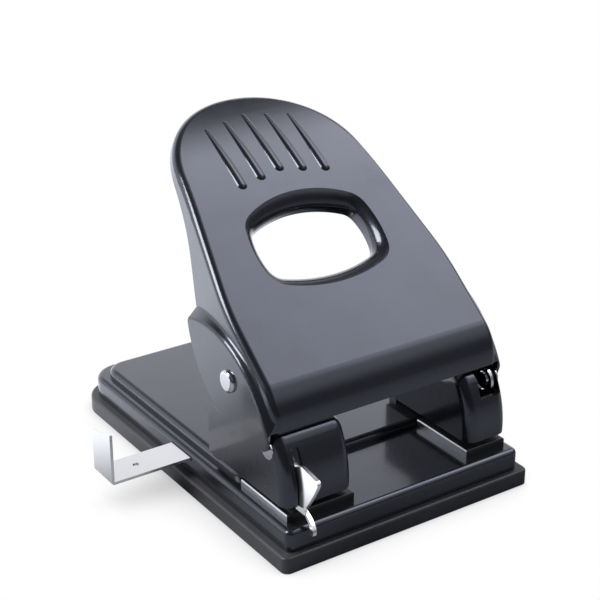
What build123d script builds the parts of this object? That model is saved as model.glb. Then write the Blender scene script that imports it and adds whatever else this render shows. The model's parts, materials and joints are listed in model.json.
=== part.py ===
"""Two-hole paper punch: pressed-steel base with chip tray, two punch towers, a lever handle,
spring-returned punches, a sliding paper guide and a thumb lock.

Frame: millimetres, +Z up, origin under the middle of the base on the surface it stands on,
-Y is the front edge where the paper goes in, +X is the user's right.
"""
from build123d import *
from math import cos, pi, radians, sin, sqrt, tan, acos
import os

# Chip tray
TRAY_WIDTH = 118.0
TRAY_DEPTH = 166.0
TRAY_HEIGHT = 6.6
TRAY_FLOOR = 1.6
TRAY_RIM = 6.8
TRAY_LIP = 9.6
TRAY_REAR_CORNER = 15.0
TRAY_FRONT_CORNER = 3.0
FRONT = -TRAY_DEPTH / 2

# Base plate
PLATE_SHEET = 1.5
PLATE_HALF = 55.7
PLATE_FRONT = FRONT + 2.8
PLATE_REAR = FRONT + 163.2
PLATE_LOW = 6.8
PLATE_RIM = 15.5
PLATE_REAR_CORNER = 12.0
PLATE_FRONT_CORNER = 3.0
RIM_ROUND = 2.2
DECK_TOP = 18.9
DECK_HALF = 51.0
DECK_FRONT = FRONT + 40.5
DECK_REAR = FRONT + 158.0
DECK_CORNER = 9.0
DECK_ROUND = 2.6

# Punching geometry
HOLE_SPACING = 80.0
PUNCH_X = {"left": -36.5, "right": -36.5 + HOLE_SPACING}
PUNCH_DIAMETER = 6.0
STOP_TO_HOLE = 12.0
PUNCH_Y = FRONT + 45.6
STOP_Y = PUNCH_Y + STOP_TO_HOLE
JAW_LOW = 21.5
JAW_TOP = 24.0
PUNCH_TIP = 23.4
BUSH_TOP = 32.0
CAP_LOW = 52.4
DIE_SPAN = {"left": (-52.5, -22.0), "right": (33.0, 52.5)}
DIE_FRONT = FRONT + 8.6
DIE_EDGE = 0.8
TONGUE_INSET = (6.0, 3.0)
RIVET = 3.0
RIVET_HEAD = 4.2
DIE_RIVET_HEAD = 5.0
DIE_RIVET_Y = FRONT + 26.0
DIE_RIVET_INSET = 5.0
TOWER_RIVET_INSET = 5.5
TOWER_RIVET_OUT = 45.5
BUSH_DIAMETER = 10.4
BUSH_FLANGE = 13.0
CAP_DIAMETER = 13.0
CAP_PLAY = 0.15

# Towers
TOWER_SHEET = 1.6
TOWER_SPAN = {"left": (-53.5, -22.5), "right": (33.5, 53.5)}
TOWER_FRONT = FRONT + 8.3
TOWER_REAR = FRONT + 62.0
TOWER_TOP = 42.2
FOLD_ROUND = 4.5
LOCK_SLOT = (44.4, 47.8)
LOCK_SLOT_REAR = FRONT + 24.0
LOCK_SLOT_TOP = 43.4
RING_NOTCH = (41.0, 38.5)
TIE_HEIGHT = (26.0, 33.5)
JAW_FRONT = FRONT + 13.0
EYE_FRONT = 150.0
EYE_REAR = 67.0
OVER_ALL = 60.0

# Handle pivot and drive shaft
PIVOT_Y = FRONT + 19.5
PIVOT_Z = 42.0
PIVOT_EYE = 6.5
PIN_DIAMETER = 6.0
PIN_RING = 12.0
PIN_TAIL = 7.4
PIN_TAIL_END = 54.0
PIN_SHOULDER = 48.4
EAR_X = (49.8, 51.4)
EAR_EYE = 9.0
LOCK_SEAT = 5.0
SHAFT_Y = FRONT + 42.8
SHAFT_Z = 60.9
SHAFT_DIAMETER = 7.0
ROLLER_DIAMETER = 10.0
ROLLER_HALF = {"left": 7.0, "right": 6.5}
SHAFT_HEAD = 9.2
HEAD_HEIGHT = 1.6
WASHER_DIAMETER = 12.0

# Handle shell
SHELL_SHEET = 1.6
HANDLE_HALF = 53.0
HANDLE_SLOPE = radians(38.0)
APRON_LOW = (FRONT + 15.8, 49.5)
SLOPE_START = (FRONT + 23.0, 66.2)
SLOPE_LENGTH = 72.3
SKIN_END = (FRONT + 136.0, 141.4)
TIP_REACH = 129.4
TIP_ROUND = 43.0
TIP_FLANGE = 7.0
TAPER = radians(9.4)
TAPER_REACH = 33.0
SHOULDER_ROUND = 120.0
EDGE_ROUND = 3.0
CHEEK_OUT = 55.6
CHEEK_SHEET = 1.4
CHEEK_IN = CHEEK_OUT - CHEEK_SHEET
CHEEK_DRAFT = 35.0
CHEEK_LOW = 20.0
CHEEK_REAR = FRONT + 90.0
CHEEK_ROUND = 2.0
FOOT_ROUND = 2.0
WINDOW_REACH = 54.1
WINDOW_HALF = 30.6
WINDOW_RISE = 23.4
WINDOW_CORNER = 11.0
ROLL_SIDE = 4.8
ROLL_END = 7.8
ROLL_DEPTH = 6.6
LIP_DEPTH = 8.6
RIB_PITCH = 9.9
RIB_LOW = FRONT + 94.4
RIB_TOP = FRONT + 121.0
RIB_STAGGER = 2.0
RIB_RADIUS = 2.6
RIB_SINK = (1.5, 2.4)

# Return springs
SPRING_RADIUS = 4.6
SPRING_WIRE = 0.9
SPRING_TURNS = 6

# Sliding paper guide
GUIDE_Y = FRONT + 80.6
GUIDE_WIDTH = 15.0
GUIDE_SHEET = 1.2
GUIDE_LOW = 12.6
GUIDE_OUT = -91.0
GUIDE_IN = 20.0
FLAG_FRONT = 22.0
FLAG_REAR = 18.0
GUIDE_DIMPLE = 14.5
RAIL_X = (-48.0, 30.0)
RAIL_SHEET = 1.2
RAIL_WING = 7.0
RAIL_ROOM = 0.8

# Thumb lock
LOCK_X = (-47.4, -45.8)
LOCK_EYE = 8.8
CLIP_X = (-45.6, -45.0)
CLIP_DIAMETER = 7.6

SIDES = ("left", "right")


def box(x, y, z):
    """Box from three (low, high) pairs."""
    size = [high - low for low, high in (x, y, z)]
    middle = [(low + high) / 2 for low, high in (x, y, z)]
    return Pos(*middle) * Box(*size)


def rod(diameter, x, y, z):
    """Cylinder along X between the pair x."""
    return Pos((x[0] + x[1]) / 2, y, z) * Rot(0, 90, 0) * Cylinder(diameter / 2, x[1] - x[0])


def post(diameter, x, y, z):
    """Upright cylinder between the pair z."""
    return Pos(x, y, (z[0] + z[1]) / 2) * Cylinder(diameter / 2, z[1] - z[0])


def side_solid(edges, x):
    """Closed outline in the YZ plane, drawn as (y, z), extruded between the pair x."""
    face = Plane.YZ.offset(x[0]) * make_face(edges)
    return extrude(face, amount=x[1] - x[0], dir=(1, 0, 0))


def on_side(side, low, high):
    """Pair of X values on the left or right, from two distances off the middle."""
    return (-high, -low) if side == "left" else (low, high)


def along(point, reach, slope):
    """Point moved by reach along a direction given by its slope angle."""
    return (point[0] + reach * cos(slope), point[1] + reach * sin(slope))


def rounded_plan(half, front, rear, front_corner, rear_corner):
    """Plan outline with one radius at the front corners and another at the rear ones."""
    face = Pos(0, (front + rear) / 2) * Rectangle(2 * half, rear - front)
    face = fillet(face.vertices().sort_by(Axis.Y)[:2], front_corner)
    return fillet(face.vertices().sort_by(Axis.Y)[-2:], rear_corner)


# Base


def base_shape(inset):
    """Pressed plate with its raised deck; with an inset, the hollow under it."""
    plan = rounded_plan(PLATE_HALF - inset, PLATE_FRONT + inset, PLATE_REAR - inset,
                        PLATE_FRONT_CORNER - inset, PLATE_REAR_CORNER - inset)
    low = PLATE_LOW - inset
    body = Pos(0, 0, low) * extrude(plan, PLATE_RIM - inset - low)
    body = fillet(body.faces().sort_by(Axis.Z)[-1].edges(), RIM_ROUND - inset)
    deck_plan = rounded_plan(DECK_HALF - inset, DECK_FRONT + inset, DECK_REAR - inset,
                             DECK_CORNER - inset, DECK_CORNER - inset)
    deck = Pos(0, 0, low) * extrude(deck_plan, DECK_TOP - inset - low)
    deck = fillet(deck.faces().sort_by(Axis.Z)[-1].edges(), DECK_ROUND - inset)
    return body + deck


def die_tongue(side, clearance):
    """Rear part of a die plate, let into the raised deck under the punch."""
    low, high = DIE_SPAN[side]
    return box((low + TONGUE_INSET[0] - clearance, high - TONGUE_INSET[1] + clearance),
               (DECK_FRONT - 1, STOP_Y - 0.4 + clearance), (PLATE_RIM, DECK_TOP))


def die_seat(side):
    """Floor that closes the pocket in the deck under a die plate's tongue, drawn at deck height."""
    low, high = DIE_SPAN[side]
    return box((low + TONGUE_INSET[0] - 1, high - TONGUE_INSET[1] + 1), (DECK_FRONT - 1, STOP_Y),
               (DECK_TOP - PLATE_SHEET, DECK_TOP))


def die_rivets(side):
    low, high = DIE_SPAN[side]
    return [(x, DIE_RIVET_Y) for x in (low + DIE_RIVET_INSET, high - DIE_RIVET_INSET)]


def tower_rivet_places(side):
    near = min(abs(x) for x in TOWER_SPAN[side]) + TOWER_RIVET_INSET
    return [(x, (STOP_Y + TOWER_REAR) / 2) for x in on_side(side, near, TOWER_RIVET_OUT)]


def base_plate():
    plate = base_shape(0) - base_shape(PLATE_SHEET)
    for side in SIDES:
        plate -= die_tongue(side, 0.2)
        plate += Pos(0, 0, PLATE_RIM - DECK_TOP) * die_seat(side)
        plate -= post(PUNCH_DIAMETER + 3, PUNCH_X[side], PUNCH_Y, (0, DECK_TOP))
        for x, y in die_rivets(side) + tower_rivet_places(side):
            plate -= post(RIVET, x, y, (0, DECK_TOP + 1))
    slot = GUIDE_WIDTH / 2 + 0.6
    return plate - box((-PLATE_HALF - 1, 2 - PLATE_HALF), (GUIDE_Y - slot, GUIDE_Y + slot),
                       (GUIDE_LOW - 0.3, GUIDE_LOW + GUIDE_SHEET + 0.3))


def chip_tray():
    half = TRAY_WIDTH / 2
    plan = rounded_plan(half, FRONT, -FRONT, TRAY_FRONT_CORNER, TRAY_REAR_CORNER)
    tray = extrude(plan, TRAY_HEIGHT)
    tray = fillet(tray.faces().sort_by(Axis.Z)[-1].edges(), 1.2)
    lip_gap = PLATE_SHEET + 0.35
    lip = rounded_plan(PLATE_HALF - lip_gap, PLATE_FRONT + lip_gap, PLATE_REAR - lip_gap,
                       2.0, PLATE_REAR_CORNER - lip_gap)
    tray += extrude(lip, TRAY_LIP)
    inset = TRAY_RIM
    hollow = rounded_plan(half - inset, FRONT + inset, -FRONT - inset, 2.0, PLATE_REAR_CORNER - 4)
    return tray - Pos(0, 0, TRAY_FLOOR) * extrude(hollow, TRAY_LIP)


def die_plate(side):
    low, high = DIE_SPAN[side]
    plate = box((low, high), (DIE_FRONT, DECK_FRONT - 0.2), (PLATE_RIM, DECK_TOP))
    top = plate.faces().sort_by(Axis.Z)[-1].edges().sort_by(Axis.Y)
    plate = fillet(top[:3], DIE_EDGE) + die_tongue(side, 0)
    plate -= post(PUNCH_DIAMETER + 0.3, PUNCH_X[side], PUNCH_Y, (0, DECK_TOP + 1))
    for x, y in die_rivets(side):
        plate -= post(RIVET, x, y, (0, DECK_TOP + 1))
    return plate


def die_rivet_group():
    group = []
    for side in SIDES:
        for x, y in die_rivets(side):
            tail = post(DIE_RIVET_HEAD, x, y, (PLATE_RIM - PLATE_SHEET - 1.4, PLATE_RIM - PLATE_SHEET))
            group.append(tail + post(RIVET, x, y, (PLATE_RIM - PLATE_SHEET, DECK_TOP)))
    return group


def tower_rivet_group():
    under = DECK_TOP - PLATE_SHEET
    group = []
    for side in SIDES:
        for x, y in tower_rivet_places(side):
            shank = post(RIVET, x, y, (under - 1.0, JAW_TOP + 1.0))
            tail = post(RIVET_HEAD, x, y, (under - 1.2, under))
            head = post(RIVET_HEAD, x, y, (JAW_TOP, JAW_TOP + 1.2))
            group.append(shank + tail + head)
    return group


# Towers


def on_eye(angle, inset):
    """Point on the rounded eye round the handle pivot, moved inwards."""
    return along((PIVOT_Y, PIVOT_Z), PIVOT_EYE - inset, radians(angle))


def tower_front_edge(inset):
    """Leaning, slightly bowed front of a tower, from the pivot eye down to the paper slot."""
    lean = radians(EYE_FRONT - 90)
    return TangentArc(on_eye(EYE_FRONT, inset), (TOWER_FRONT + inset, JAW_LOW),
                      tangent=(-cos(lean), -sin(lean)))


def eye_arc(first, last, inset):
    return ThreePointArc(on_eye(first, inset), on_eye((first + last) / 2, inset), on_eye(last, inset))


def front_fold_edges(solid, span):
    """Edges where the front of a tower folds back into its two cheeks."""
    return [edge for edge in solid.edges()
            if min(abs(edge.center().X - x) for x in span) < 1e-3
            and edge.center().Y < FRONT + 14 and edge.length > 15]


def tower(side):
    """Folded U channel: front panel rolled back over the pivot and two cheeks, open behind and below."""
    low, high = TOWER_SPAN[side]
    leave = on_eye(EYE_REAR, 0)
    fall = (leave[1] - TOWER_TOP) / tan(radians(90 - EYE_REAR))
    back = Polyline(leave, (leave[0] + fall, TOWER_TOP), (TOWER_REAR, TOWER_TOP), (TOWER_REAR, JAW_LOW),
                    (TOWER_FRONT, JAW_LOW))
    outer = side_solid([tower_front_edge(0), eye_arc(EYE_FRONT, EYE_REAR, 0), back], (low, high))
    outer = fillet(front_fold_edges(outer, (low, high)), FOLD_ROUND)
    span = (low + TOWER_SHEET, high - TOWER_SHEET)
    front, roll = tower_front_edge(TOWER_SHEET), eye_arc(EYE_FRONT, 90, TOWER_SHEET)
    top, bottom = on_eye(90, TOWER_SHEET), (TOWER_FRONT + TOWER_SHEET, JAW_LOW)
    beyond, below = TOWER_REAR + 9, JAW_LOW - 9
    behind = Polyline(top, (PIVOT_Y, OVER_ALL), (beyond, OVER_ALL), (beyond, below),
                      (bottom[0], below), bottom)
    inner = side_solid([front, roll, behind], span)
    inner = fillet(front_fold_edges(inner, span), FOLD_ROUND - TOWER_SHEET)
    shell = outer - inner
    shell += box((low, high), (TOWER_REAR - TOWER_SHEET, TOWER_REAR), TIE_HEIGHT)
    cheek = max(abs(low), abs(high))
    if side == "left":
        shell -= box(on_side(side, *LOCK_SLOT), (FRONT, LOCK_SLOT_REAR), (JAW_LOW - 1, LOCK_SLOT_TOP))
    else:
        shell -= box((RING_NOTCH[0], cheek - TOWER_SHEET), (FRONT, LOCK_SLOT_REAR),
                     (RING_NOTCH[1], OVER_ALL))
    shell -= rod(EAR_EYE + 0.6, on_side(side, LOCK_SLOT[1], cheek - TOWER_SHEET), PIVOT_Y, PIVOT_Z)
    return shell - rod(PIN_DIAMETER, on_side(side, cheek - 2, cheek + 1), PIVOT_Y, PIVOT_Z)


def jaw_plate(side):
    """Upper jaw between the cheeks, with the foot that stops the paper and stands on the deck."""
    low, high = TOWER_SPAN[side]
    span = (low + TOWER_SHEET, high - TOWER_SHEET)
    plate = box(span, (JAW_FRONT, TOWER_REAR), (JAW_LOW, JAW_TOP))
    plate += box(span, (STOP_Y, TOWER_REAR), (DECK_TOP, JAW_LOW))
    if side == "left":
        plate -= box(on_side(side, *LOCK_SLOT), (FRONT, LOCK_SLOT_REAR), (0, OVER_ALL))
    plate -= post(PUNCH_DIAMETER + 0.4, PUNCH_X[side], PUNCH_Y, (0, OVER_ALL))
    for x, y in tower_rivet_places(side):
        plate -= post(RIVET, x, y, (0, OVER_ALL))
    return plate


def guide_bush(side):
    x = PUNCH_X[side]
    bush = post(BUSH_FLANGE, x, PUNCH_Y, (JAW_TOP, JAW_TOP + 1.6))
    bush += post(BUSH_DIAMETER, x, PUNCH_Y, (JAW_TOP, BUSH_TOP))
    return bush - post(PUNCH_DIAMETER + 0.2, x, PUNCH_Y, (0, OVER_ALL))


def pivot_pin(side):
    """Pin riveted in the outer cheek: a ring on its inner end, or the seat that the lock turns on."""
    cheek = max(abs(x) for x in TOWER_SPAN[side])
    pin = rod(PIN_TAIL, on_side(side, cheek, PIN_TAIL_END), PIVOT_Y, PIVOT_Z)
    pin += rod(PIN_DIAMETER, on_side(side, PIN_SHOULDER, PIN_TAIL_END), PIVOT_Y, PIVOT_Z)
    if side == "left":
        pin += rod(LOCK_SEAT + 2, on_side(side, PIN_SHOULDER - 0.8, PIN_SHOULDER + 0.1), PIVOT_Y, PIVOT_Z)
        return pin + rod(LOCK_SEAT, on_side(side, PIN_SHOULDER - 3.8, PIN_SHOULDER), PIVOT_Y, PIVOT_Z)
    ring = rod(PIN_RING, on_side(side, PIN_SHOULDER, PIN_SHOULDER + 1.2), PIVOT_Y, PIVOT_Z)
    ring -= rod(PIN_RING - 3, on_side(side, PIN_SHOULDER - 1, PIN_SHOULDER + 0.5), PIVOT_Y, PIVOT_Z)
    return pin + ring


# Handle


def chord_slope(start, end):
    """Slope angle of the chord between two points on a rising curve."""
    reach = sqrt((end[0] - start[0]) ** 2 + (end[1] - start[1]) ** 2)
    return acos((end[0] - start[0]) / reach)


def top_edges(inset):
    """Side view of the handle's skin: rolled apron, straight slope and bowed tip, moved inwards."""
    slope_end = along(SLOPE_START, SLOPE_LENGTH, HANDLE_SLOPE)
    inward = HANDLE_SLOPE - pi / 2
    start = along(SLOPE_START, inset, inward)
    end = along(slope_end, inset, inward)
    apron_slope = 2 * chord_slope(APRON_LOW, SLOPE_START) - HANDLE_SLOPE
    tip_slope = 2 * chord_slope(slope_end, SKIN_END) - HANDLE_SLOPE
    low = along(APRON_LOW, inset, apron_slope - pi / 2)
    tip = along(SKIN_END, inset, tip_slope - pi / 2)
    way = (cos(HANDLE_SLOPE), sin(HANDLE_SLOPE))
    apron = TangentArc(start, low, tangent=(-way[0], -way[1]))
    skin = [apron, Line(start, end), TangentArc(end, tip, tangent=way)]
    foot = along(low, -20, apron_slope)
    return skin, low, foot, tip, tip_slope


def skin_plane(reach, sink):
    """Plane on the straight slope, reach up from its start and sink under the skin."""
    y, z = along(along(SLOPE_START, reach, HANDLE_SLOPE), sink, HANDLE_SLOPE - pi / 2)
    return Plane(origin=(0, y, z), x_dir=(1, 0, 0), z_dir=(0, -sin(HANDLE_SLOPE), cos(HANDLE_SLOPE)))


def skin_slab(inset):
    """Everything under the handle's skin, moved inwards by inset, as wide as the cheeks and more."""
    skin, low, foot, tip, tip_slope = top_edges(inset)
    beyond = along(tip, OVER_ALL, tip_slope)
    around = Polyline(tip, beyond, (beyond[0], foot[1]), foot, low)
    return side_solid(skin + [around], (-OVER_ALL, OVER_ALL))


def free_edges():
    """Side view of all that lies above the free edges of the flanges and cheeks, from tip to apron."""
    _, low, _, tip, tip_slope = top_edges(0)
    under = along(tip, TIP_FLANGE, tip_slope - pi / 2)
    beyond = along(under, OVER_ALL, tip_slope)
    over = Polyline(low, (FRONT, low[1]), (FRONT, 3 * OVER_ALL), (beyond[0], 3 * OVER_ALL), beyond, under)
    waist, heel, toe = (FRONT + 72.6, 76.3), (FRONT + 58.1, 49.7), (FRONT + 22.5, 40.6)
    flange = Spline(under, (FRONT + 97.9, 114.8), (FRONT + 84.7, 99.8), (FRONT + 76.4, 83.4), waist)
    rear = ThreePointArc(waist, (FRONT + 67.6, 61.5), heel)
    lower = ThreePointArc(heel, (FRONT + 40.0, 41.9), toe)
    corner = Polyline(toe, (FRONT + 18.4, 42.2), (FRONT + 16.6, 47.2), low)
    return [over, flange, rear, lower, corner]


def handle_plan(inset):
    """Outline square to the slope: wide at the apron, tapering to a rounded tip, moved inwards."""
    tip_half = HANDLE_HALF - (TIP_REACH - TAPER_REACH) * tan(TAPER)
    right = [(HANDLE_HALF, -OVER_ALL), (HANDLE_HALF, TAPER_REACH), (tip_half, TIP_REACH)]
    left = [(-x, y) for x, y in reversed(right)]
    face = make_face(Polyline(*right, *left, close=True))
    face = fillet([v for v in face.vertices() if abs(v.Y - TAPER_REACH) < 0.01], SHOULDER_ROUND)
    face = fillet([v for v in face.vertices() if v.Y > TIP_REACH - 0.01], TIP_ROUND)
    return offset(face, -inset) if inset else face


def upper_rim(solid):
    """Edges between the skin on top and the side walls."""
    upward = skin_plane(0, 0).z_dir
    skin = [face for face in solid.faces() if face.normal_at(face.center()).dot(upward) > 0.3]
    ring = []
    for face in skin:
        for edge in face.edges():
            shared = [other for other in ring if (other.center() - edge.center()).length < 1e-4]
            ring = [other for other in ring if other not in shared] + ([] if shared else [edge])
    return [edge for edge in ring if abs(edge.center().X) > 1 or edge.center().Z > 100]


def window_face(side, end):
    """Thumb opening on the slope, drawn narrower by side and shorter by end than on the skin."""
    half, rise = WINDOW_HALF - side, WINDOW_RISE - end
    low, high = (0.93 * half, -0.72 * rise), (0.92 * half, 0.6 * rise)
    edges = [ThreePointArc((-low[0], low[1]), (0, -rise), low),
             ThreePointArc(low, (half, 0), high),
             ThreePointArc(high, (0, rise), (-high[0], high[1])),
             ThreePointArc((-high[0], high[1]), (-half, 0), (-low[0], low[1]))]
    face = make_face(edges)
    return fillet(face.vertices(), WINDOW_CORNER - 0.375 * (side + end))


def window_plug(sheet):
    """What the rolled rim leaves open: a lofted mouth and the straight hole under it.

    With a sheet thickness, the same on the hidden side of the rim.
    """
    side, end, depth = ROLL_SIDE - sheet, ROLL_END - sheet, ROLL_DEPTH - sheet
    sections = []
    for turn in (0, 30, 60, 90):
        sink = ROLL_DEPTH - depth * cos(radians(turn)) - (0.3 if turn == 0 else 0)
        part = sin(radians(turn))
        sections.append(skin_plane(WINDOW_REACH, sink) * window_face(side * part, end * part))
    return loft(sections) + extrude(sections[-1], -OVER_ALL)


def handle_body(inset):
    """Solid under the skin, moved inwards by inset, with its upper rim rounded."""
    body = skin_slab(inset) & extrude(skin_plane(0, 150) * handle_plan(inset), 200)
    return fillet(upper_rim(body), EDGE_ROUND - inset)


def cheek_bulge(sheet):
    """Pressed-out cheek on the right, with sloping sides and a rounded shoulder; or the room inside it."""
    start, end = (FRONT + 16.3, 47.0), (FRONT + 72.0, 75.4)
    rise = ThreePointArc(start, (FRONT + 24.6, 60.6), (FRONT + 39.2, 72.5))
    crown = TangentArc(rise @ 1, end, tangent=rise % 1)
    around = Polyline(end, (CHEEK_REAR, 66.0), (CHEEK_REAR, CHEEK_LOW), (start[0], CHEEK_LOW), start)
    lean = radians(CHEEK_DRAFT)
    face = make_face([rise, crown, around])
    if sheet:
        face = offset(face, -sheet * (1 - sin(lean)) / cos(lean), kind=Kind.INTERSECTION)
    reach = CHEEK_OUT - sheet
    bulge = extrude(Plane.YZ.offset(reach) * face, amount=reach - HANDLE_HALF + 5, dir=(-1, 0, 0),
                    taper=-CHEEK_DRAFT)
    outer = bulge.faces().sort_by(Axis.X)[-1]
    shoulder = [edge for edge in outer.edges()
                if edge.center().Z > CHEEK_LOW and edge.center().Y < CHEEK_REAR]
    bulge = fillet(shoulder, CHEEK_ROUND - sheet)
    return bulge & skin_slab(SHELL_SHEET if sheet else SHELL_SHEET / 2)


def grip_rib(step):
    """Raised bead near the tip, highest at its lower end."""
    ends = []
    for share, sink in zip((0, 0.5, 1), (RIB_SINK[0], sum(RIB_SINK) / 2, RIB_SINK[1])):
        arc = top_edges(sink)[0][2]
        reach = (RIB_LOW + share * (RIB_TOP - RIB_LOW) - RIB_STAGGER * abs(step) - (arc @ 0).X)
        ends.append(arc @ (reach / ((arc @ 1).X - (arc @ 0).X)))
    path = Plane.YZ.offset(step * RIB_PITCH) * ThreePointArc(*ends)
    bead = sweep(Plane(origin=path @ 0, z_dir=path % 0) * Circle(RIB_RADIUS), path=path)
    for end in (path @ 0, path @ 1):
        bead += Pos(*end) * Sphere(RIB_RADIUS)
    return bead


def cheeked_body(inset, sheet):
    """Solid under the skin with both cheeks blended in; or, moved inwards, the room inside it."""
    body, cheek = handle_body(inset), cheek_bulge(sheet)
    for bulge in (cheek, mirror(cheek, about=Plane.YZ)):
        whole = body + bulge
        foot = [edge for edge in new_edges(body, bulge, combined=whole)
                if PIVOT_Y - 2 < edge.center().Y < PIVOT_Y + OVER_ALL and edge.center().Z > APRON_LOW[1]]
        body = whole if sheet else fillet(foot, FOOT_ROUND)
    return body


def handle_shell():
    """Pressed sheet of even thickness: skin, flanges, rolled window rim and bulged cheeks."""
    shell = cheeked_body(0, 0) - window_plug(0)
    shell -= cheeked_body(SHELL_SHEET, CHEEK_SHEET) - window_plug(SHELL_SHEET)
    lip = window_face(ROLL_SIDE - SHELL_SHEET - 1, ROLL_END - SHELL_SHEET - 1)
    shell -= extrude(skin_plane(WINDOW_REACH, LIP_DEPTH) * lip, -OVER_ALL)
    shell &= side_solid(free_edges(), (-OVER_ALL, OVER_ALL))
    shell -= box((-CHEEK_IN, CHEEK_IN), (FRONT, PIVOT_Y + 8), (0, APRON_LOW[1]))
    beads = grip_rib(0)
    for step in (-2, -1, 1, 2):
        beads += grip_rib(step)
    shell += beads - handle_body(SHELL_SHEET / 2)
    return shell - rod(SHAFT_DIAMETER, (-CHEEK_OUT - 1, CHEEK_OUT + 1), SHAFT_Y, SHAFT_Z)


def handle_ear(side):
    """Inner ear welded in the shell, which turns on the pivot pin behind the tower's rolled front."""
    front = PIVOT_Y + 0.4
    outline = Polyline((front, PIVOT_Z), (front, 70), (FRONT + 36.0, 80.0), (FRONT + 42.0, 70.0),
                       (FRONT + 24.0, PIVOT_Z), close=True)
    span = on_side(side, *EAR_X)
    ear = side_solid([outline], span) & handle_body(SHELL_SHEET)
    ear += rod(EAR_EYE, span, PIVOT_Y, PIVOT_Z)
    return ear - rod(PIN_DIAMETER + 0.2, on_side(side, EAR_X[0] - 1, EAR_X[1] + 1), PIVOT_Y, PIVOT_Z)


def drive_shaft():
    """Shaft across the handle, riveted over into a domed head outside each cheek."""
    shaft = rod(SHAFT_DIAMETER, (-CHEEK_OUT - 0.5, CHEEK_OUT + 0.5), SHAFT_Y, SHAFT_Z)
    for side in SIDES:
        head = rod(SHAFT_HEAD, on_side(side, CHEEK_OUT, CHEEK_OUT + HEAD_HEIGHT), SHAFT_Y, SHAFT_Z)
        rim = head.faces().sort_by(Axis.X)[0 if side == "left" else -1].edges()
        shaft += fillet(rim, HEAD_HEIGHT - 0.2)
    return shaft


def sleeve(outside, inside, x):
    return rod(outside, x, SHAFT_Y, SHAFT_Z) - rod(inside, x, SHAFT_Y, SHAFT_Z)


def roller(side):
    x, half = PUNCH_X[side], ROLLER_HALF[side]
    return sleeve(ROLLER_DIAMETER, SHAFT_DIAMETER, (x - half, x + half))


def spacer_tube():
    ends = (PUNCH_X["left"] + ROLLER_HALF["left"] + 0.2, PUNCH_X["right"] - ROLLER_HALF["right"] - 0.2)
    return sleeve(ROLLER_DIAMETER, SHAFT_DIAMETER, ends)


def shaft_washers():
    return [sleeve(WASHER_DIAMETER, SHAFT_DIAMETER, on_side(side, CHEEK_IN - 1.0, CHEEK_IN - 0.2))
            for side in SIDES]


# Punches and springs


def punch(side):
    """Ground pin with a shallow V across its cutting end and a shouldered top."""
    x = PUNCH_X[side]
    pin = post(PUNCH_DIAMETER, x, PUNCH_Y, (PUNCH_TIP, CAP_LOW + 2))
    notch = Pos(x, PUNCH_Y, PUNCH_TIP) * Rot(0, 45, 0) * Box(2.0, PUNCH_DIAMETER + 1, 2.0)
    return pin - notch


def spring_cap(side):
    """Cap on top of the punch: the roller presses on it and the spring pushes it up."""
    x = PUNCH_X[side]
    top = SHAFT_Z - ROLLER_DIAMETER / 2 - CAP_PLAY
    cap = post(CAP_DIAMETER, x, PUNCH_Y, (CAP_LOW, top))
    cap = fillet(cap.faces().sort_by(Axis.Z)[-1].edges(), 0.8)
    return cap - post(PUNCH_DIAMETER, x, PUNCH_Y, (CAP_LOW - 1, CAP_LOW + 2))


def arc_from(start, way, end):
    """Arc that leaves start along way and ends at end."""
    chord = end - start
    half = chord.length / 2
    lift = way - chord * (way.dot(chord) / chord.dot(chord))
    angle = radians(way.get_angle(chord))
    middle = start + chord * 0.5 + lift.normalized() * (half * tan(angle / 2))
    return ThreePointArc(start, middle, end)


def helix_path(radius, bottom, pitch, turns):
    """Helix round the Z axis as biarcs of half a turn."""
    def point(angle):
        return Vector(radius * cos(angle), radius * sin(angle), bottom + pitch * angle / (2 * pi))

    def heading(angle):
        return Vector(-radius * sin(angle), radius * cos(angle), pitch / (2 * pi)).normalized()

    edges = []
    for step in range(2 * turns):
        a, b = step * pi, (step + 1) * pi
        p0, p1, t0, t1 = point(a), point(b), heading(a), heading(b)
        v, t = p1 - p0, t0 + t1
        spread = 2 * (1 - t0.dot(t1))
        reach = (sqrt(v.dot(t) ** 2 + spread * v.dot(v)) - v.dot(t)) / spread
        joint = (p0 + t0 * reach + p1 - t1 * reach) * 0.5
        edges.append(arc_from(p0, t0, joint))
        edges.append(arc_from(p1, t1 * -1, joint).reversed())
    return Wire(edges)


def return_spring(side):
    bottom = BUSH_TOP + SPRING_WIRE / 2 + 0.1
    pitch = (CAP_LOW - BUSH_TOP - SPRING_WIRE - 0.2) / SPRING_TURNS
    path = helix_path(SPRING_RADIUS, bottom, pitch, SPRING_TURNS)
    print(side, "spring: gap between turns", round(pitch - SPRING_WIRE, 2), "mm")
    profile = Plane(origin=path @ 0, z_dir=path % 0) * RegularPolygon(SPRING_WIRE / 2, 8)
    return Pos(PUNCH_X[side], PUNCH_Y, 0) * sweep(profile, path=path)


# Paper guide


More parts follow.
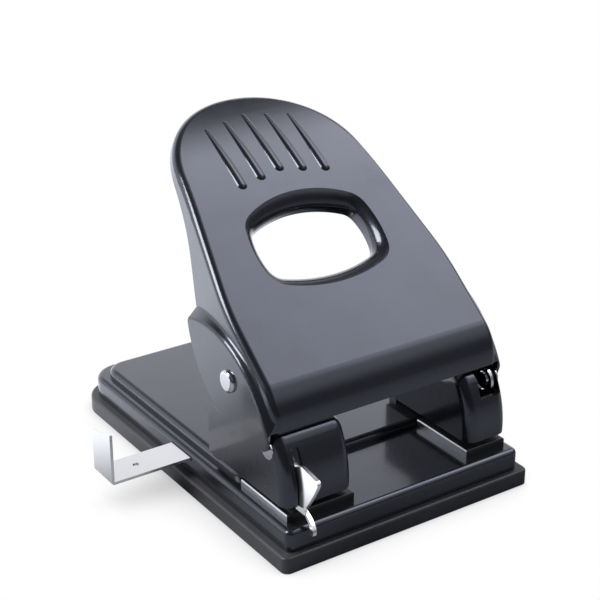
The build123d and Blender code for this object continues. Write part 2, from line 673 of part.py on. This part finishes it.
def paper_guide():
    """Sliding strip with its end bent up into a flag that the edge of the paper touches."""
    y = (GUIDE_Y - GUIDE_WIDTH / 2, GUIDE_Y + GUIDE_WIDTH / 2)
    top = GUIDE_LOW + GUIDE_SHEET
    strip = box((GUIDE_OUT, GUIDE_IN), y, (GUIDE_LOW, top))
    outline = Polyline((y[0], GUIDE_LOW), (y[1], GUIDE_LOW), (y[1], GUIDE_LOW + FLAG_REAR),
                       (y[0], GUIDE_LOW + FLAG_FRONT), close=True)
    guide = strip + side_solid([outline], (GUIDE_OUT, GUIDE_OUT + GUIDE_SHEET))
    bend = [edge for edge in guide.edges().filter_by(Axis.Y)
            if edge.center().X < GUIDE_OUT + 0.1 and edge.center().Z < GUIDE_LOW + 0.1]
    guide = fillet(bend, GUIDE_SHEET)
    guide -= post(2.6, GUIDE_OUT + GUIDE_DIMPLE, GUIDE_Y, (0, 40))
    for step in range(5):
        guide -= post(2.4, GUIDE_IN - 8 - 9 * step, GUIDE_Y, (0, 40))
    return guide


def guide_rail():
    """Channel under the deck that carries the strip."""
    half, under = GUIDE_WIDTH / 2 + 0.6, DECK_TOP - PLATE_SHEET
    floor, outside = GUIDE_LOW - RAIL_ROOM, half + RAIL_SHEET
    rail = box(RAIL_X, (GUIDE_Y - outside, GUIDE_Y + outside), (floor - RAIL_SHEET, under))
    wing = half + RAIL_WING
    rail += box(RAIL_X, (GUIDE_Y - wing, GUIDE_Y + wing), (under - RAIL_SHEET, under))
    ends = (RAIL_X[0] - 1, RAIL_X[1] + 1)
    return rail - box(ends, (GUIDE_Y - half, GUIDE_Y + half), (floor, under + 1))


def guide_spring():
    """Thin bowed leaf in the rail that holds the strip where it is pushed."""
    floor = GUIDE_LOW - RAIL_ROOM
    under = ThreePointArc((-30, floor), (-20, floor + 0.35), (-10, floor))
    over = ThreePointArc((-10, floor + 0.3), (-20, floor + 0.65), (-30, floor + 0.3))
    ends = [Line((-10, floor), (-10, floor + 0.3)), Line((-30, floor + 0.3), (-30, floor))]
    face = Plane.XZ.offset(-GUIDE_Y - 4) * make_face([under, ends[0], over, ends[1]])
    return extrude(face, amount=8)


# Thumb lock


def lock_lever():
    """Flat lever on the left pivot pin: a fin in front of the tower and a finger over the front edge."""
    def at(y, z):
        return (FRONT + y, z)

    arm = Polyline(at(21.0, 42.6), at(10.6, 37.1), at(6.5, 38.9), at(-2.8, 37.4))
    nose = ThreePointArc(at(-2.8, 37.4), at(-3.6, 36.3), at(-3.3, 34.8))
    fin = ThreePointArc(at(-3.3, 34.8), at(0.2, 28.4), at(5.1, 21.2))
    finger = Spline(at(5.1, 21.2), at(1.0, 18.6), at(-0.9, 15.8), at(-0.9, 13.3))
    tip = Line(at(-0.9, 13.3), at(0.5, 13.0))
    back = ThreePointArc(at(0.5, 13.0), at(1.5, 16.6), at(4.8, 19.4))
    heel = Polyline(at(4.8, 19.4), at(10.2, 19.4), at(10.2, 24.6))
    rear = ThreePointArc(at(10.2, 24.6), at(14.2, 34.0), at(21.0, 38.6))
    edges = [arm, nose, fin, finger, tip, back, heel, rear, Line(at(21.0, 38.6), at(21.0, 42.6))]
    lever = side_solid(edges, LOCK_X)
    lever += rod(LOCK_EYE, LOCK_X, PIVOT_Y, PIVOT_Z)
    return lever - rod(LOCK_SEAT + 0.2, (LOCK_X[0] - 1, LOCK_X[1] + 1), PIVOT_Y, PIVOT_Z)


def lock_clip():
    ring = rod(CLIP_DIAMETER, CLIP_X, PIVOT_Y, PIVOT_Z)
    return ring - rod(LOCK_SEAT, (CLIP_X[0] - 1, CLIP_X[1] + 1), PIVOT_Y, PIVOT_Z)


def all_parts():
    parts = {"base_plate": base_plate(), "chip_tray": chip_tray(), "die_rivets": die_rivet_group(),
             "tower_rivets": tower_rivet_group(), "handle_shell": handle_shell(),
             "drive_shaft": drive_shaft(), "spacer_tube": spacer_tube(), "shaft_washers": shaft_washers(),
             "paper_guide": paper_guide(), "guide_rail": guide_rail(), "guide_spring": guide_spring(),
             "lock_lever": lock_lever(), "lock_clip": lock_clip()}
    makers = {"tower": tower, "jaw_plate": jaw_plate, "die_plate": die_plate, "guide_bush": guide_bush,
              "pivot_pin": pivot_pin, "handle_ear": handle_ear, "roller": roller, "punch": punch,
              "spring_cap": spring_cap, "return_spring": return_spring}
    for name, maker in makers.items():
        for side in SIDES:
            parts[f"{side}_{name}"] = maker(side)
    return parts


os.makedirs("parts", exist_ok=True)
for node, shape in all_parts().items():
    solids = shape if isinstance(shape, list) else [shape]
    export_step(Compound(children=solids) if len(solids) > 1 else solids[0], f"parts/{node}.step")
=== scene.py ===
"""Looks for the desk paper punch: materials, wound springs, floor, light and camera."""
import json
import math

import bmesh
import bpy
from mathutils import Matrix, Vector


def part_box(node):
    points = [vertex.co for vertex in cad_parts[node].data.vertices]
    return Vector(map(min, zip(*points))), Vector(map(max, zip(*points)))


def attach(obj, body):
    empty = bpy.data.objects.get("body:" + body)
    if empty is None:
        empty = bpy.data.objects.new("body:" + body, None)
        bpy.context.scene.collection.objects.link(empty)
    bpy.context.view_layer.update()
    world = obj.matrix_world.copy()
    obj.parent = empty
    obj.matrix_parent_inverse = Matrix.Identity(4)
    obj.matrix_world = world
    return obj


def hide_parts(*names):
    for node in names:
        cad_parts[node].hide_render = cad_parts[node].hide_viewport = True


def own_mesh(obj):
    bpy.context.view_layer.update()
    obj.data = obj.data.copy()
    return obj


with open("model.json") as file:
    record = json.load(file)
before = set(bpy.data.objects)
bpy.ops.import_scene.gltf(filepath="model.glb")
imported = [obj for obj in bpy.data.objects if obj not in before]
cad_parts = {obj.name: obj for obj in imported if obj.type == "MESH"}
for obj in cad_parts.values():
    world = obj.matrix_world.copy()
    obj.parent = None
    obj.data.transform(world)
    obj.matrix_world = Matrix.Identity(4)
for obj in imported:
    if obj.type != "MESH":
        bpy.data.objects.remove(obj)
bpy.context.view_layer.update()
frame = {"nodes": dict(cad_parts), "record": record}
NODES = frame["nodes"]


# Materials


class Tree:
    """Small helper round one material's nodes."""

    def __init__(self, name):
        self.material = bpy.data.materials.new(name)
        self.material.use_nodes = True
        self.nodes = self.material.node_tree.nodes
        self.links = self.material.node_tree.links
        self.shader = self.nodes["Principled BSDF"]
        self.place = self.node("ShaderNodeTexCoord").outputs["Object"]

    def node(self, kind, **settings):
        made = self.nodes.new(kind)
        for key, value in settings.items():
            setattr(made, key, value)
        return made

    def put(self, name, value):
        """A constant goes on the shader's socket, anything else is linked to it."""
        socket = self.shader.inputs[name]
        if hasattr(value, "is_output"):
            self.links.new(value, socket)
        else:
            socket.default_value = value

    def stretched(self, scale):
        """Object coordinates, scaled along each axis."""
        made = self.node("ShaderNodeMapping")
        made.inputs["Scale"].default_value = scale
        self.links.new(self.place, made.inputs["Vector"])
        return made.outputs["Vector"]

    def along(self, vector, axis):
        """One coordinate of a vector."""
        made = self.node("ShaderNodeSeparateXYZ")
        self.links.new(vector, made.inputs["Vector"])
        return made.outputs[axis]

    def noise(self, scale, detail=3.0, rough=0.5, vector=None):
        made = self.node("ShaderNodeTexNoise")
        made.inputs["Scale"].default_value = scale
        made.inputs["Detail"].default_value = detail
        made.inputs["Roughness"].default_value = rough
        self.links.new(vector or self.place, made.inputs["Vector"])
        return made.outputs["Fac"]

    def spread(self, fac, low, high, start=0.3, end=0.7):
        """Number that runs from low to high as fac runs from start to end."""
        made = self.node("ShaderNodeMapRange")
        made.inputs["From Min"].default_value = start
        made.inputs["From Max"].default_value = end
        made.inputs["To Min"].default_value = low
        made.inputs["To Max"].default_value = high
        self.links.new(fac, made.inputs["Value"])
        return made.outputs["Result"]

    def ramp(self, fac, *stops):
        """Colour at fac; each stop is (place, colour)."""
        made = self.node("ShaderNodeValToRGB")
        while len(made.color_ramp.elements) < len(stops):
            made.color_ramp.elements.new(1.0)
        for element, (at, colour) in zip(made.color_ramp.elements, stops):
            element.position = at
            element.color = (*colour, 1.0)
        self.links.new(fac, made.inputs["Fac"])
        return made.outputs["Color"]

    def mix(self, fac, a, b):
        made = self.node("ShaderNodeMix", data_type="RGBA")
        self.links.new(fac, made.inputs["Factor"])
        self.links.new(a, made.inputs["A"])
        self.links.new(b, made.inputs["B"])
        return made.outputs["Result"]

    def bump(self, *heights):
        """Each height is (factor, strength, depth in metres); they add up in order."""
        normal = None
        for fac, strength, depth in heights:
            made = self.node("ShaderNodeBump")
            made.inputs["Strength"].default_value = strength
            made.inputs["Distance"].default_value = depth
            self.links.new(fac, made.inputs["Height"])
            if normal is not None:
                self.links.new(normal, made.inputs["Normal"])
            normal = made.outputs["Normal"]
        self.links.new(normal, self.shader.inputs["Normal"])


def enamel():
    """Stove enamel: black with a cool sheen, a faint orange peel and a clear gloss."""
    t = Tree("black_enamel")
    cloud = t.noise(14.0, 4.0)
    t.put("Base Color", t.ramp(cloud, (0.3, (0.0095, 0.0096, 0.0118)),
                               (0.7, (0.0138, 0.0139, 0.0168))))
    t.put("Roughness", t.spread(t.noise(60.0, 5.0), 0.20, 0.30))
    t.put("IOR", 1.56)
    t.put("Coat Weight", 0.9)
    t.put("Specular Tint", (0.65, 0.75, 1.0, 1.0))
    t.put("Coat Roughness", 0.12)
    t.put("Coat IOR", 1.55)
    t.bump((t.noise(300.0, 1.0), 0.025, 0.0001), (t.noise(45.0, 1.0), 0.06, 0.0003))
    return t.material


def die():
    """Hardened plate: enamelled on top and in front, unpainted sheared steel on its two sides;
    choosing the finish by face direction is partly painted light, making the sides bright and the
    top and front dark.
    """
    t = Tree("die_plate")
    sideways = t.node("ShaderNodeMath", operation="ABSOLUTE")
    normal = t.node("ShaderNodeNewGeometry").outputs["Normal"]
    t.links.new(t.along(normal, "X"), sideways.inputs[0])
    # Faces pointing along X get the pale steel: an unpainted side, and also a painted highlight on
    # these sides against the dark top and front.
    bare_and_lit_side = t.spread(sideways.outputs["Value"], 0.0, 1.0, 0.35, 0.65)
    cloud = t.noise(40.0, 4.0)
    grain = t.noise(60.0, 6.0, 0.6, t.stretched((1.0, 1.0, 60.0)))
    enamelled = t.ramp(cloud, (0.3, (0.012, 0.012, 0.014)), (0.7, (0.018, 0.018, 0.021)))
    sheared = t.ramp(grain, (0.3, (0.72, 0.73, 0.75)), (0.7, (0.86, 0.87, 0.89)))
    t.put("Base Color", t.mix(bare_and_lit_side, enamelled, sheared))
    t.put("Metallic", bare_and_lit_side)
    t.put("Roughness", t.spread(grain, 0.24, 0.36))
    t.bump((grain, 0.10, 0.0001))
    return t.material


def metal(name, dark, light, rough, cloud_scale, grain_scale, grain_strength):
    """Plated or ground metal: cloudy tone, fine drawn grain, roughness that follows the grain."""
    t = Tree(name)
    cloud = t.noise(cloud_scale, 4.0)
    grain = t.noise(300.0, 4.0, 0.6, t.stretched(grain_scale))
    t.put("Base Color", t.ramp(cloud, (0.3, dark), (0.7, light)))
    t.put("Metallic", 1.0)
    t.put("Roughness", t.spread(grain, *rough))
    t.bump((grain, grain_strength, 0.00008))
    return t.material


def stamped(name, lean):
    """Bright plated sheet; its upright faces are shaded as if they leaned back by this slope."""
    t = Tree(name)
    cloud = t.noise(50.0, 4.0)
    t.put("Base Color", t.ramp(cloud, (0.3, (0.93, 0.92, 0.90)), (0.7, (0.98, 0.97, 0.95))))
    t.put("Metallic", 1.0)
    t.put("Roughness", t.spread(cloud, 0.16, 0.22))
    t.bump((t.spread(t.along(t.place, "Z"), 0.0, -lean, 0.0, 1.0), 1.0, 1.0))
    return t.material


def moulded():
    """Tray plastic: satin, with a fine spark-eroded grain and an uneven sheen."""
    t = Tree("moulded_tray")
    grain = t.noise(2300.0, 2.0)
    cloud = t.noise(25.0, 4.0)
    t.put("Base Color", t.ramp(cloud, (0.3, (0.042, 0.042, 0.046)), (0.7, (0.056, 0.056, 0.062))))
    t.put("Roughness", t.spread(cloud, 0.34, 0.46))
    t.put("IOR", 1.52)
    t.bump((grain, 0.25, 0.00008), (t.noise(140.0, 2.0), 0.08, 0.0003))
    return t.material


# One finish for each material slot of the record.
FINISH = {
    "enamel": enamel(),
    "die": die(),
    "jaw": metal("oiled_steel", (0.16, 0.16, 0.17), (0.26, 0.26, 0.27), rough=(0.30, 0.44),
                 cloud_scale=60.0, grain_scale=(1, 8, 1), grain_strength=0.15),
    "chrome": metal("bright_plate", (0.84, 0.84, 0.86), (0.92, 0.92, 0.93), rough=(0.07, 0.14),
                    cloud_scale=50.0, grain_scale=(3, 3, 3), grain_strength=0.04),
    "steel": metal("ground_steel", (0.52, 0.53, 0.55), (0.66, 0.67, 0.69), rough=(0.20, 0.32),
                   cloud_scale=80.0, grain_scale=(8, 8, 1), grain_strength=0.12),
    "zinc": metal("zinc_plate", (0.50, 0.51, 0.52), (0.66, 0.67, 0.66), rough=(0.26, 0.40),
                  cloud_scale=120.0, grain_scale=(2, 2, 2), grain_strength=0.15),
    "spring_steel": metal("spring_wire", (0.40, 0.41, 0.43), (0.55, 0.56, 0.58),
                          rough=(0.20, 0.34), cloud_scale=200.0, grain_scale=(4, 4, 4),
                          grain_strength=0.12),
    "tray": moulded(),
}

# Nodes with a finish of their own.
OWN_FINISH = {
    "drive_shaft": metal("turned_shaft", (0.60, 0.60, 0.62), (0.72, 0.72, 0.73),
                         rough=(0.10, 0.18), cloud_scale=50.0, grain_scale=(3, 3, 3),
                         grain_strength=0.06),
    "paper_guide": stamped("guide_plate", lean=0.09),
    "lock_lever": stamped("lever_plate", lean=0.31),
}


def set_material(obj, material):
    if not obj.material_slots:
        obj.data.materials.append(material)
    for place in obj.material_slots:
        place.material = material


for row in frame["record"]["subparts"]:
    set_material(NODES[row["node"]], OWN_FINISH.get(row["node"], FINISH[row["material_slot"]]))


# Wound springs

WIRE_RADIUS = 0.00045
WOUND_RADIUS = 0.0046
TURNS = 7.5
CLOSED_TURN = 0.75  # part of a turn in which each end rises by one wire
EASED = 0.25  # share of the rise that starts and ends slowly
STEPS_PER_TURN = 40
WIRE_SIDES = 12


def winding(turn):
    """Height share at a turn: closed end turns, open middle."""
    t = min(max((turn - CLOSED_TURN) / (TURNS - 2 * CLOSED_TURN), 0.0), 1.0)
    return t * t * (3 - 2 * t) * EASED + t * (1 - EASED)


def wound_spring(name, x, y, low, high):
    """Compression spring with closed end turns, as one swept tube."""
    wire = 2 * WIRE_RADIUS
    first, last = low + WIRE_RADIUS, high - WIRE_RADIUS
    made = bmesh.new()
    rings = []
    for step in range(int(TURNS * STEPS_PER_TURN) + 1):
        turn = step / STEPS_PER_TURN
        closing = min(turn, TURNS - turn, CLOSED_TURN) * wire / CLOSED_TURN
        lift = closing if turn < TURNS / 2 else 2 * wire - closing
        z = first + (last - first - 2 * wire) * winding(turn) + lift
        angle = 2 * math.pi * turn
        out = Vector((math.cos(angle), math.sin(angle), 0))
        middle = Vector((x, y, z)) + out * WOUND_RADIUS
        ring = []
        for k in range(WIRE_SIDES):
            a = 2 * math.pi * k / WIRE_SIDES
            across = out * (WIRE_RADIUS * math.cos(a))
            ring.append(made.verts.new(middle + across + Vector((0, 0, WIRE_RADIUS * math.sin(a)))))
        rings.append(ring)
    for one, two in zip(rings, rings[1:]):
        for k in range(WIRE_SIDES):
            following = (k + 1) % WIRE_SIDES
            made.faces.new((one[k], one[following], two[following], two[k]))
    made.faces.new(list(reversed(rings[0])))
    made.faces.new(rings[-1])
    bmesh.ops.recalc_face_normals(made, faces=made.faces)
    for face in made.faces:
        face.smooth = len(face.verts) == 4
    mesh = bpy.data.meshes.new(name)
    made.to_mesh(mesh)
    made.free()
    spring = bpy.data.objects.new(name, mesh)
    bpy.context.scene.collection.objects.link(spring)
    return spring


for side in ("left", "right"):
    cap_low, cap_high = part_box(f"{side}_spring_cap")
    bush_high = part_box(f"{side}_guide_bush")[1]
    x, y = (cap_low.x + cap_high.x) / 2, (cap_low.y + cap_high.y) / 2
    spring = wound_spring(f"{side}_wound_spring", x, y, bush_high.z, cap_low.z)
    set_material(spring, FINISH["spring_steel"])
    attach(spring, f"{side}_punch_unit")
    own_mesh(spring)
    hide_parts(f"{side}_return_spring")


# Floor, light and camera

FLOOR_SIZE = 8.0
FLOOR_DROP = 0.0002  # just under the tray
SHADE_START, SHADE_END = -0.06, 0.12  # metres along Y over which the floor's painted shade changes
# Painted shade on the floor: tone at each share of that span, dark in front of the object, darkest
# near y = -0.01 m, pale behind it.
PAINTED_SHADE_TONES = ((0.0, 0.34), (0.28, 0.21), (0.44, 0.32), (0.64, 0.74), (0.90, 0.90))
FLOOR_TINT = (0.95, 0.985, 1.05)
SHADOW_REACH = 0.035
SHADOW_COLOUR = (0.30, 0.30, 0.31)
WHITE = (1.0, 1.0, 1.0)


def pale_floor():
    """White with a soft painted shadow to the camera; in reflections and bounced light a cool floor
    with painted shade, dim in front and darkest near y = -0.01 m.
    """
    t = Tree("pale_floor")
    along = t.spread(t.along(t.place, "Y"), 0.0, 1.0, SHADE_START, SHADE_END)
    tones = [(at, tuple(tint * tone for tint in FLOOR_TINT)) for at, tone in PAINTED_SHADE_TONES]
    # Painted shade along Y, seen only by reflected and bounced rays; the camera sees the white
    # below.
    t.put("Base Color", t.ramp(along, *tones))
    t.put("Roughness", 0.9)
    t.put("Specular IOR Level", 0.0)
    shade = t.node("ShaderNodeAmbientOcclusion", samples=16)
    shade.inputs["Distance"].default_value = SHADOW_REACH
    white = t.node("ShaderNodeEmission")
    shadow = t.ramp(shade.outputs["AO"], (0.0, SHADOW_COLOUR), (0.80, WHITE))
    t.links.new(shadow, white.inputs["Color"])
    seen = t.node("ShaderNodeLightPath").outputs["Is Camera Ray"]
    mixed = t.node("ShaderNodeMixShader")
    t.links.new(seen, mixed.inputs[0])
    t.links.new(t.shader.outputs["BSDF"], mixed.inputs[1])
    t.links.new(white.outputs["Emission"], mixed.inputs[2])
    t.links.new(mixed.outputs["Shader"], t.nodes["Material Output"].inputs["Surface"])
    return t.material


bpy.ops.mesh.primitive_plane_add(size=FLOOR_SIZE, location=(0, 0, -FLOOR_DROP))
floor = bpy.context.object
floor.name = "floor"
set_material(floor, pale_floor())


class Sky:
    """Helper round the world's nodes: brightness as a smooth function of direction."""

    def __init__(self, name):
        self.world = bpy.data.worlds.new(name)
        self.world.use_nodes = True
        self.nodes, self.links = self.world.node_tree.nodes, self.world.node_tree.links
        self.way = self.nodes.new("ShaderNodeTexCoord").outputs["Generated"]
        self.path = self.nodes.new("ShaderNodeLightPath")

    def math(self, operation, a, b):
        made = self.nodes.new("ShaderNodeMath")
        made.operation = operation
        for socket, value in zip(made.inputs, (a, b)):
            if hasattr(value, "is_output"):
                self.links.new(value, socket)
            else:
                socket.default_value = value
        return made.outputs["Value"]

    def towards(self, direction, far, near, low, high):
        """Runs smoothly from low at far degrees off a direction to high at near degrees off it."""
        turned = self.nodes.new("ShaderNodeVectorMath")
        turned.operation = "DOT_PRODUCT"
        self.links.new(self.way, turned.inputs[0])
        turned.inputs[1].default_value = Vector(direction).normalized()
        made = self.nodes.new("ShaderNodeMapRange")
        made.interpolation_type = "SMOOTHSTEP"
        made.inputs["From Min"].default_value = math.cos(math.radians(far))
        made.inputs["From Max"].default_value = math.cos(math.radians(near))
        made.inputs["To Min"].default_value = low
        made.inputs["To Max"].default_value = high
        self.links.new(turned.outputs["Value"], made.inputs["Value"])
        return made.outputs["Result"]

    def finish(self, strength, colour):
        background = self.nodes["Background"]
        background.inputs["Color"].default_value = (*colour, 1.0)
        self.links.new(strength, background.inputs["Strength"])
        bpy.context.scene.world = self.world


RIGHT = (1.0, 0.0, 0.0)
BEHIND = (0.0, 1.0, 0.0)
UP = (0.0, 0.0, 1.0)
OVERHEAD_RIGHT = (0.60, 0.0, 0.80)
GLOW_OFF_MIRROR = 0.25  # share of the glow that lights dull surfaces
ROOM_COLOUR = (0.945, 0.955, 1.04)
BACKDROP = 1.06  # makes the cool room white where the camera sees it


def studio():
    """Pale room behind the object, dim in front, and a wide soft glow overhead on the right."""
    sky = Sky("studio")
    room = sky.math("MULTIPLY", sky.towards(BEHIND, 92.0, 58.0, 0.05, 1.03),
                    sky.towards(UP, 66.0, 44.0, 1.0, 0.05))
    front = sky.math("MULTIPLY", sky.towards(UP, 76.0, 48.0, 0.10, 0.75),
                     sky.towards(RIGHT, 95.0, 68.0, 0.1, 1.0))
    mirrored = sky.math("MAXIMUM", sky.path.outputs["Is Glossy Ray"], GLOW_OFF_MIRROR)
    glow = sky.math("MULTIPLY", sky.towards(OVERHEAD_RIGHT, 27.0, 3.0, 0.0, 2.1), mirrored)
    ahead = sky.math("MULTIPLY", sky.math("ADD", front, glow),
                     sky.towards(BEHIND, 82.0, 69.0, 1.0, 0.12))
    seen = sky.math("MULTIPLY", sky.path.outputs["Is Camera Ray"], BACKDROP)
    sky.finish(sky.math("MAXIMUM", sky.math("ADD", room, ahead), seen), ROOM_COLOUR)


def softbox(name, place, aim, size, glow):
    """Rectangular lamp whose face has the given brightness."""
    data = bpy.data.lights.new(name, "AREA")
    data.shape = "RECTANGLE"
    data.size, data.size_y = size
    data.energy = glow * math.pi * size[0] * size[1]
    lamp = bpy.data.objects.new(name, data)
    lamp.location = place
    lamp.rotation_euler = (Vector(aim) - Vector(place)).to_track_quat("-Z", "Y").to_euler()
    bpy.context.scene.collection.objects.link(lamp)
    return lamp


studio()
softbox("key_box", place=(-0.84, 0.24, 0.75), aim=(0.0, -0.02, 0.09), size=(0.42, 0.50), glow=10.0)
fill = softbox("fill_box", place=(-0.40, 0.60, 0.90), aim=(-0.15, 0.15, 0.0), size=(0.6, 0.6),
               glow=9.0)
fill.visible_glossy = False

CAMERA_PLACE = (-0.31566, -0.47219, 0.31886)
CAMERA_DOWN = 24.07  # degrees below level
CAMERA_TURN = -34.07  # degrees about Z, from facing +Y
LENS = 91.15
SENSOR = 36.0

view = bpy.data.cameras.new("camera")
view.sensor_width = SENSOR
view.lens = LENS
camera = bpy.data.objects.new("camera", view)
camera.location = CAMERA_PLACE
camera.rotation_euler = (math.radians(90 - CAMERA_DOWN), 0.0, math.radians(CAMERA_TURN))
bpy.context.scene.collection.objects.link(camera)
bpy.context.scene.camera = camera
bpy.context.scene.view_settings.view_transform = "Standard"
